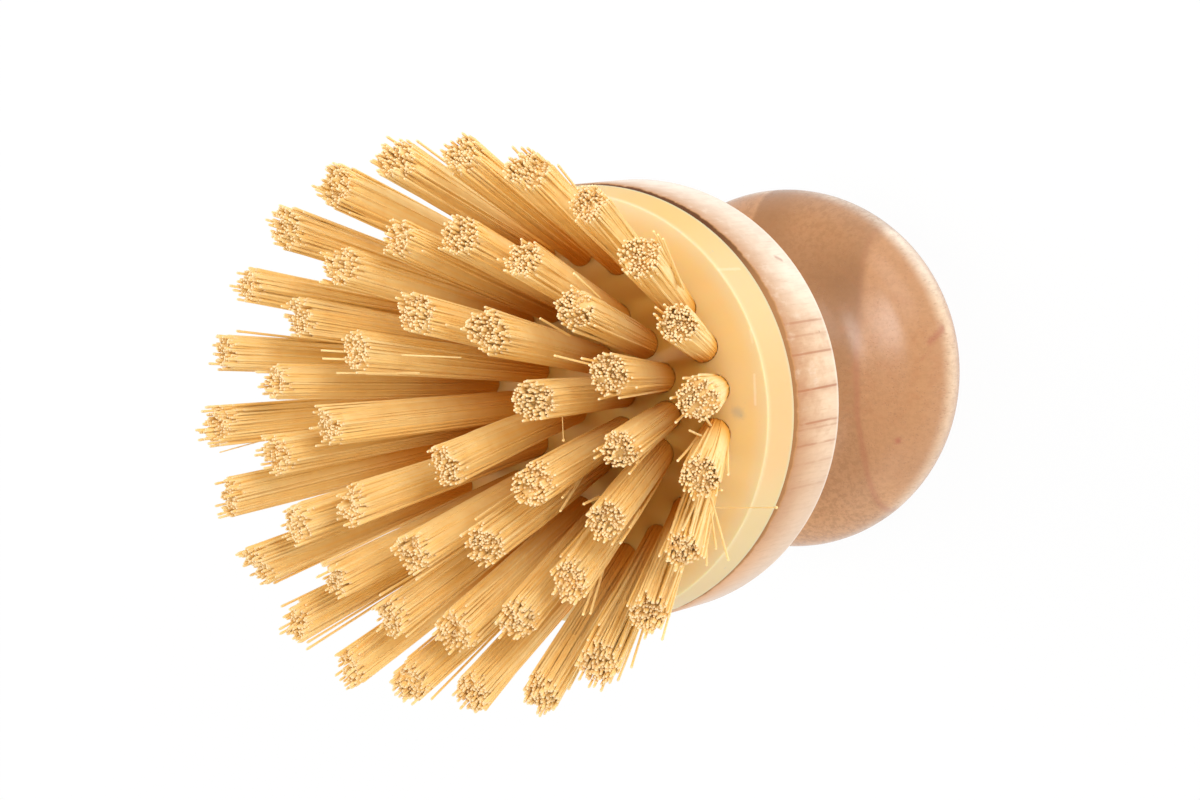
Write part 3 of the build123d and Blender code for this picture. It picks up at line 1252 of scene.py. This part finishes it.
@dataclass
class Filament:
    """The shape that every bristle starts from: a thin rod with a slightly swollen cut end."""

    radius: float = 0.158 * MM
    end_radius: float = 0.185 * MM
    sides: int = 5
    stations: tuple[float, ...] = (0.35, 0.7, 0.975)
    swelling_from: float = 0.99
    end_share: float = 0.75

    def template(self, start: float, swell: float) -> Mesh:
        """Build the rod, with its heights as shares of a whole filament's length.

        Args:
            start: the height that it starts from, for one whose foot is never seen.
            swell: how much thicker it is than a lone filament, where filaments press together.

        Returns:
            The rod's mesh.
        """
        bm = bmesh.new()
        width = self.radius * swell
        ring = bmesh.ops.create_circle(bm, cap_ends=True, segments=self.sides, radius=width,
                                       matrix=Matrix.Translation((0.0, 0.0, start)))["verts"]
        floor = bm.faces[:]
        for height in self.stations:
            if height > start:
                ring = self.raised(bm, ring, height, width)
        ring = self.raised(bm, ring, self.swelling_from, self.end_radius)
        ring = self.raised(bm, ring, 1.0, self.end_radius * self.end_share)
        bmesh.ops.contextual_create(bm, geom=ring)
        bmesh.ops.delete(bm, geom=floor, context="FACES_ONLY")
        bmesh.ops.recalc_face_normals(bm, faces=bm.faces)
        return meshed("filament", bm)

    @staticmethod
    def raised(bm: BMesh, ring: Sequence[BMVert], height: float, width: float) -> list[BMVert]:
        """Extrude the rod's last ring to a new height and width.

        Args:
            bm: the rod's mesh.
            ring: the last ring.
            height: the new ring's height.
            width: the new ring's radius.

        Returns:
            The new ring.
        """
        fresh = extruded(bm, ring)
        for vert in fresh:
            flat = Vector((vert.co.x, vert.co.y, 0.0)).normalized() * width
            vert.co = Vector((flat.x, flat.y, height))
        return fresh


@dataclass(frozen=True)
class LooseFilament:
    """One filament that has sprung out of its bundle, in millimetres."""

    tuft: str
    start: Point
    end: Point
    radius: float = 0.14
    bead: float = 0.0
    sides: int = 6
    bead_detail: int = 2
    tint: Colour = (0.9, 0.95, 0.0, 1.0)

    def lay(self, bm: BMesh, fibre: bmesh.types.BMLayerItem) -> None:
        """Add the filament, and the bead at its end if it has one, to its tuft's mesh.

        Args:
            bm: the tuft's mesh.
            fibre: the layer that holds each filament's chance, height and cut end.
        """
        start, end = Vector(self.start) * MM, Vector(self.end) * MM
        along = end - start
        turn = along.to_track_quat("Z", "Y").to_matrix().to_4x4()
        made = bmesh.ops.create_cone(
            bm, cap_ends=True, segments=self.sides, radius1=self.radius * MM,
            radius2=self.radius * MM, depth=along.length,
            matrix=Matrix.Translation((start + end) / 2) @ turn)
        for vert in made["verts"]:
            vert[fibre] = self.tint
        if self.bead:
            made = bmesh.ops.create_icosphere(bm, subdivisions=self.bead_detail,
                                              radius=self.bead * MM,
                                              matrix=Matrix.Translation(end))
            for vert in made["verts"]:
                vert[fibre] = self.tint


LOOSE_FILAMENTS = (
    LooseFilament("outer_22", (20.2, -11.8, 75.5), (29.1, -11.5, 77.0), 0.09, 0.2),
    LooseFilament("outer_23", (19.1, -2.7, 73.0), (29.8, 1.8, 97.0), 0.17),
    LooseFilament("outer_23", (19.3, -4.2, 73.0), (28.7, -0.3, 98.0), 0.15),
    LooseFilament("inner_01", (13.2, 1.8, 100.0), (11.0, -1.7, 96.0), 0.05, 0.18),
    LooseFilament("middle_02", (17.7, 15.1, 98.0), (18.8, 18.4, 106.0)),
    LooseFilament("middle_02", (12.4, 10.6, 96.0), (12.5, 13.1, 103.0)),
    LooseFilament("middle_01", (17.3, 7.1, 98.0), (16.4, 9.1, 107.0)),
    LooseFilament("outer_02", (23.0, 15.8, 88.0), (26.9, 22.8, 101.5)),
    LooseFilament("outer_02", (23.2, 15.6, 88.0), (27.3, 22.4, 101.2)),
    LooseFilament("outer_02", (23.5, 15.4, 88.0), (27.7, 21.9, 100.8)),
    LooseFilament("outer_03", (15.4, 12.1, 73.0), (24.2, 16.8, 100.0)),
    LooseFilament("outer_12", (-30.2, -1.8, 97.0), (-33.9, -2.9, 101.0), 0.08),
    LooseFilament("inner_04", (-10.7, 9.2, 103.0), (-14.6, 9.9, 107.5)),
    LooseFilament("inner_04", (-10.8, 8.4, 103.0), (-14.8, 8.9, 107.0)),
    LooseFilament("inner_04", (-5.8, 6.6, 100.0), (-13.6, 7.1, 106.0)),
    LooseFilament("inner_04", (0.0, 8.4, 100.0), (-5.5, 9.1, 104.5), 0.10),
    LooseFilament("inner_09", (7.7, -6.0, 84.0), (11.3, -9.8, 98.0), 0.16),
    LooseFilament("inner_09", (7.4, -6.3, 84.0), (12.2, -8.1, 99.0), 0.16),
    LooseFilament("inner_09", (7.2, -6.5, 84.0), (12.5, -7.3, 100.0), 0.16),
    LooseFilament("inner_08", (4.4, -6.9, 92.0), (3.3, -10.2, 104.0), 0.16),
    LooseFilament("middle_17", (18.9, -3.5, 92.0), (22.2, -4.0, 99.0), 0.16),
    LooseFilament("middle_15", (12.9, -17.4, 92.0), (16.5, -21.2, 103.0), 0.16),
    LooseFilament("middle_15", (13.5, -17.2, 92.0), (16.9, -21.2, 102.0), 0.16),
    LooseFilament("middle_16", (14.4, -8.5, 94.0), (16.1, -8.6, 101.0), 0.16),
    LooseFilament("middle_16", (18.6, -10.3, 92.0), (22.0, -11.2, 101.0), 0.16),
    LooseFilament("outer_22", (24.0, -9.6, 84.0), (33.0, -15.2, 98.0)),
    LooseFilament("outer_22", (23.7, -9.6, 84.0), (31.5, -13.9, 98.0)),
    LooseFilament("outer_22", (23.2, -9.9, 84.0), (30.7, -15.7, 99.0)),
    LooseFilament("outer_22", (21.5, -9.2, 80.0), (29.5, -7.8, 92.0)),
)


@dataclass(frozen=True)
class Clump:
    """A few neighbouring filaments that cling together and stand out alike."""

    out: float
    side: float
    drift_out: float
    drift_side: float
    rise: float


@dataclass(frozen=True)
class CutEnd:
    """How one tuft's cut end differs from a flat round one."""

    spread: float
    slope_out: float
    slope_side: float
    wave: float
    wave_turn: float
    clumps: tuple[Clump, ...]
    fanned: bool
    wave_count: int = 3

    def clump(self, out: float, side: float) -> Clump:
        """Return the clump that a filament belongs to, by its place from -1 to 1."""
        return min(self.clumps, key=lambda c: (c.out - out) ** 2 + (c.side - side) ** 2)

    def rise(self, out: float, side: float) -> float:
        """Return how much longer a filament is than the tuft, by how far out and sideways it ends."""
        ripple = math.sin(self.wave_count * math.atan2(side, out) + self.wave_turn)
        return out * self.slope_out + side * self.slope_side + self.wave * ripple


@dataclass
class TuftDraft:
    """One tuft under construction, with its own random numbers."""

    place: TuftPlace
    chance: random.Random
    cut: CutEnd
    bm: BMesh
    fibre: bmesh.types.BMLayerItem


@dataclass
class BristleTuft:
    """One tuft of filaments, packed tight in its hole and fanned out at its tip."""

    shell_filaments: int = 44
    shell_range: Pair = (0.94, 1.0)
    shell_shift: float = 0.3
    inner_filaments: int = 138
    inner_start: float = 0.68
    inner_swell: float = 1.12
    inner_reach: float = 0.92
    inner_shift: float = 0.25
    sunk: float = 1.6 * MM
    root_spread: float = 1.71 * MM
    tip_spread: float = 2.33 * MM
    spread_curve: float = 1.15
    spread_range: Pair = (0.92, 1.08)
    slim: tuple[str, ...] = ("outer_10", "outer_11", "outer_22", "middle_08")
    slim_spread: float = 0.84
    cut_from: float = 0.995
    cut_slope: float = 0.20
    cut_wave: float = 0.35 * MM
    clump_count: int = 8
    clump_reach: float = 0.9
    clump_rise: float = 0.35 * MM
    clump_drift: float = 0.07 * MM
    clump_pull: float = 0.06
    tip_jitter: float = 0.11 * MM
    bow: float = 0.10 * MM
    uneven: float = 0.72 * MM
    inner_uneven: float = 0.30 * MM
    uneven_limit: float = 1.4 * MM
    fanned: tuple[str, ...] = ("outer_19", "outer_20", "outer_21", "outer_22")
    fanned_core: float = 0.62
    fanned_share: float = 0.45
    fanned_drift: float = 0.55 * MM
    loose_share: float = 0.18
    loose_reach: float = 0.55 * MM
    loose_limit: float = 1.1 * MM
    loose_excess: Pair = (-0.3, 1.0)
    loose_length: float = 0.9 * MM
    core_share: float = 1.03
    core_flute: float = 1.005
    core_flutes: int = 40
    core_rings: tuple[Pair, ...] = (
        (0.0, 1.0), (0.5, 1.0), (0.72, 0.985), (0.86, 0.93), (0.925, 0.89), (0.965, 0.84),
        (0.970, 0.78))
    core_mouth: float = 0.95
    core_depth: float = 0.85
    layer: str = "fibre"
    sharp: float = 60.0

    def build(self, place: TuftPlace, whole: Mesh, upper: Mesh, finish: Material) -> Object:
        """Build and dress one tuft.

        Args:
            place: where it stands.
            whole: a whole filament's mesh, for the outside of the bundle.
            upper: the upper end's mesh alone, for the inside.
            finish: the bristles' material.

        Returns:
            The tuft.
        """
        chance = random.Random(place.node)
        bm = bmesh.new()
        draft = TuftDraft(place, chance, self.cut_end(place, chance), bm,
                          bm.verts.layers.float_color.new(self.layer))
        for n in range(self.shell_filaments):
            shift = chance.uniform(-self.shell_shift, self.shell_shift)
            turn = FULL_TURN * (n + shift) / self.shell_filaments
            self.stand(draft, whole, chance.uniform(*self.shell_range), turn)
        golden = math.pi * (3 - math.sqrt(5))
        for n in range(self.inner_filaments):
            ring_share = self.inner_reach * math.sqrt((n + 0.5) / self.inner_filaments)
            turn = golden * n + chance.uniform(-self.inner_shift, self.inner_shift)
            self.stand(draft, upper, ring_share, turn)
        self.fill(draft)
        for loose in LOOSE_FILAMENTS:
            if loose.tuft == place.label:
                loose.lay(bm, draft.fibre)
        bmesh.ops.recalc_face_normals(bm, faces=bm.faces)
        piece = finished(f"bristles_{place.label}", bm, finish, self.sharp)
        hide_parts(place.node)
        return piece

    def cut_end(self, place: TuftPlace, chance: random.Random) -> CutEnd:
        """Draw the shape of one tuft's cut end.

        Args:
            place: where the tuft stands.
            chance: the tuft's own random numbers.

        Returns:
            The cut end.
        """
        wide = chance.uniform(*self.spread_range)
        if place.label in self.slim:
            wide = self.slim_spread
        reach = self.clump_reach
        clumps = tuple(
            Clump(out=chance.uniform(-reach, reach), side=chance.uniform(-reach, reach),
                  drift_out=chance.gauss(0, self.clump_drift),
                  drift_side=chance.gauss(0, self.clump_drift),
                  rise=chance.gauss(0, self.clump_rise))
            for _ in range(self.clump_count))
        return CutEnd(spread=self.tip_spread * wide,
                      slope_out=chance.gauss(0, self.cut_slope),
                      slope_side=chance.gauss(0, self.cut_slope),
                      wave=chance.uniform(0, self.cut_wave),
                      wave_turn=chance.uniform(0, FULL_TURN), clumps=clumps,
                      fanned=place.label in self.fanned)

    def fill(self, draft: TuftDraft) -> None:
        """Fill the middle of the bundle, where its inner filaments lie too close to be told apart.

        Args:
            draft: the tuft.
        """
        bm, place, cut = draft.bm, draft.place, draft.cut
        sides = 2 * self.core_flutes
        tints = [draft.chance.random() for _ in range(sides)]
        ring = bmesh.ops.create_circle(bm, cap_ends=True, segments=sides, radius=1.0)["verts"]
        rings = [ring]
        for _ in self.core_rings[1:]:
            ring = extruded(bm, ring)
            rings.append(ring)
        bmesh.ops.contextual_create(bm, geom=ring)
        for ring, (share, width) in zip(rings, self.core_rings):
            lift = share ** self.spread_curve
            spread = self.root_spread * (1 - lift) + cut.spread * lift
            height = share if width > self.core_mouth else self.core_depth
            for vert in ring:
                step = round(math.atan2(vert.co.y, vert.co.x) / FULL_TURN * sides) % sides
                reach = spread * width * (self.core_flute if step % 2 else self.core_share)
                if cut.fanned:
                    reach *= 1 - (1 - self.fanned_core) * lift
                out, side = vert.co.x * reach, vert.co.y * reach
                length = place.length + cut.rise(out, side)
                vert[draft.fibre] = (tints[step], height, 0.0, 1.0)
                vert.co = place.point(out + place.lean * lift, side,
                                      share * (length + self.sunk) - self.sunk)

    def stand(self, draft: TuftDraft, rod: Mesh, ring_share: float, turn: float) -> None:
        """Stand one filament in the tuft.

        Args:
            draft: the tuft.
            rod: the filament's mesh.
            ring_share: how far out in the bundle the filament is, from 0 to 1.
            turn: its direction from the bundle's middle.
        """
        bm, place, chance, cut = draft.bm, draft.place, draft.chance, draft.cut
        out, side = math.cos(turn) * ring_share, math.sin(turn) * ring_share
        outermost = ring_share > self.inner_reach
        loose_share = self.fanned_share if cut.fanned else self.loose_share
        loose = outermost and chance.random() < loose_share
        stray = self.loose_reach if loose else self.tip_jitter
        stray_out = self.within(chance.gauss(0, stray), self.loose_limit)
        stray_side = self.within(chance.gauss(0, stray), self.loose_limit)
        stray_side += self.fanned_drift if loose and cut.fanned else 0.0
        clump = cut.clump(out, side)
        pull = self.clump_pull * cut.spread
        tip_out = out * cut.spread + (clump.out - out) * pull + clump.drift_out + stray_out
        tip_side = side * cut.spread + (clump.side - side) * pull + clump.drift_side + stray_side
        root_out, root_side = out * self.root_spread, side * self.root_spread
        bow_out, bow_side = chance.gauss(0, self.bow), chance.gauss(0, self.bow)
        length = place.length + cut.rise(tip_out, tip_side) + clump.rise
        uneven = self.uneven if outermost else self.inner_uneven
        length += self.within(chance.gauss(0, uneven), self.uneven_limit)
        length += chance.uniform(*self.loose_excess) * self.loose_length if loose else 0.0
        tint = chance.random()
        first = len(bm.verts)
        bm.from_mesh(rod)
        bm.verts.ensure_lookup_table()
        for vert in bm.verts[first:]:
            share = vert.co.z
            lift = share ** self.spread_curve
            middle = 4 * share * (1 - share)
            x = vert.co.x + root_out * (1 - lift) + tip_out * lift + bow_out * middle
            y = vert.co.y + root_side * (1 - lift) + tip_side * lift + bow_side * middle
            vert[draft.fibre] = (tint, share, 1.0 if share > self.cut_from else 0.0, 1.0)
            vert.co = place.point(x + place.lean * lift, y,
                                  share * (length + self.sunk) - self.sunk)

    @staticmethod
    def within(value: float, limit: float) -> float:
        """Return a value held between the limit's two signs."""
        return max(-limit, min(limit, value))


# Studio and camera


@dataclass
class PhotographCamera:
    """The camera that sees the brush as the photograph does."""

    place: Point = (0.2480, 0.04055, 0.5247)
    turn: Point = (-5.0, 28.32, 0.0)
    lens: float = 125.87
    sensor: float = 36.0

    def build(self) -> Object:
        """Place the camera and make it the scene's.

        Returns:
            The camera.
        """
        data = bpy.data.cameras.new("photograph_camera")
        data.lens = self.lens
        data.sensor_width = self.sensor
        camera = linked("photograph_camera", data)
        camera.rotation_mode = "YXZ"
        camera.rotation_euler = [math.radians(angle) for angle in self.turn]
        camera.location = self.place
        bpy.context.scene.camera = camera
        return camera


@dataclass
class SoftBox:
    """One soft studio lamp."""

    name: str
    place: Point
    size: float
    watts: float
    aim: Point = (0.0, 0.0, 0.07)

    def build(self) -> Object:
        """Place the lamp and point it at the brush.

        Returns:
            The lamp.
        """
        data = bpy.data.lights.new(self.name, "AREA")
        data.shape = "SQUARE"
        data.size = self.size
        data.energy = self.watts
        lamp = linked(self.name, data)
        lamp.location = self.place
        toward = Vector(self.aim) - Vector(self.place)
        lamp.rotation_euler = toward.to_track_quat("-Z", "Y").to_euler()
        return lamp


@dataclass
class Studio:
    """A plain pale floor, even light all round and four soft lamps."""

    floor_half: float = 3.0
    floor_colour: Colour = (0.9, 0.9, 0.9, 1.0)
    floor_roughness: float = 0.9
    floor_glow: float = 0.96
    air_colour: Colour = (1.0, 1.0, 1.0, 1.0)
    ambient: float = 0.72
    lamps: tuple[SoftBox, ...] = (
        SoftBox("camera_side_softbox", (0.40, 0.19, 0.48), 0.22, 1.25),
        SoftBox("rim_side_softbox", (0.46, 0.40, 0.12), 0.4, 0.9),
        SoftBox("overhead_softbox", (-0.36, 0.12, 0.60), 0.5, 2.4),
        SoftBox("lower_side_softbox", (0.25, -0.50, 0.15), 0.45, 0.5),
    )

    def floor_finish(self) -> Material:
        """Make the floor's material, which looks white and still takes a faint shadow.

        Returns:
            The material.
        """
        material, sheet, shader = Finish("studio_floor_pale").start()
        sheet.feed(shader, {"Base Color": self.floor_colour, "Roughness": self.floor_roughness})
        glow = sheet.add("ShaderNodeEmission")
        rays = sheet.add("ShaderNodeLightPath").outputs
        seen = sheet.math("MAXIMUM", rays["Is Camera Ray"], rays["Is Glossy Ray"])
        seen = sheet.math("MAXIMUM", seen, rays["Is Transmission Ray"])
        parts = {0: sheet.product(seen, self.floor_glow), 1: shader.outputs[0], 2: glow.outputs[0]}
        blend = sheet.add("ShaderNodeMixShader", parts)
        sheet.feed(material.node_tree.nodes["Material Output"], {"Surface": blend.outputs[0]})
        return material

    def build(self) -> None:
        """Build the floor, the world and the lamps."""
        bm = bmesh.new()
        bmesh.ops.create_grid(bm, x_segments=1, y_segments=1, size=self.floor_half)
        floor = linked("studio_floor", meshed("studio_floor", bm))
        floor.data.materials.append(self.floor_finish())
        world = bpy.data.worlds.new("studio_air")
        world.use_nodes = True
        air = world.node_tree.nodes["Background"]
        NodeSheet(world.node_tree).feed(air, {"Color": self.air_colour, "Strength": self.ambient})
        bpy.context.scene.world = world
        for lamp in self.lamps:
            lamp.build()
        bpy.context.scene.view_settings.view_transform = "Standard"


def main() -> None:
    """Build the studio and every piece of the brush."""
    logging.basicConfig(level=logging.INFO, format="%(name)s: %(message)s")
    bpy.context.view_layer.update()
    PhotographCamera().build()
    Studio().build()

    wood = TurnedWoodFinish().build()
    plastic = MouldedPlasticFinish().build()
    bristle = BristleFinish().build()
    wire = AnchorWireFinish().build()

    places = TuftLayout().places(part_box("tuft_block")[1].z)
    LOG.info("made %s", TurnedHandle().build(wood).name)
    LOG.info("made %s", BristleBlock().build(plastic, places).name)
    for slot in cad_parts["anchors"].material_slots:
        slot.material = wire
    tuft = BristleTuft()
    whole = Filament().template(0.0, 1.0)
    upper = Filament().template(tuft.inner_start, tuft.inner_swell)
    for place in places:
        LOG.info("made %s", tuft.build(place, whole, upper, bristle).name)
    for rod in (whole, upper):
        bpy.data.meshes.remove(rod)


if __name__ == "__main__":
    main()
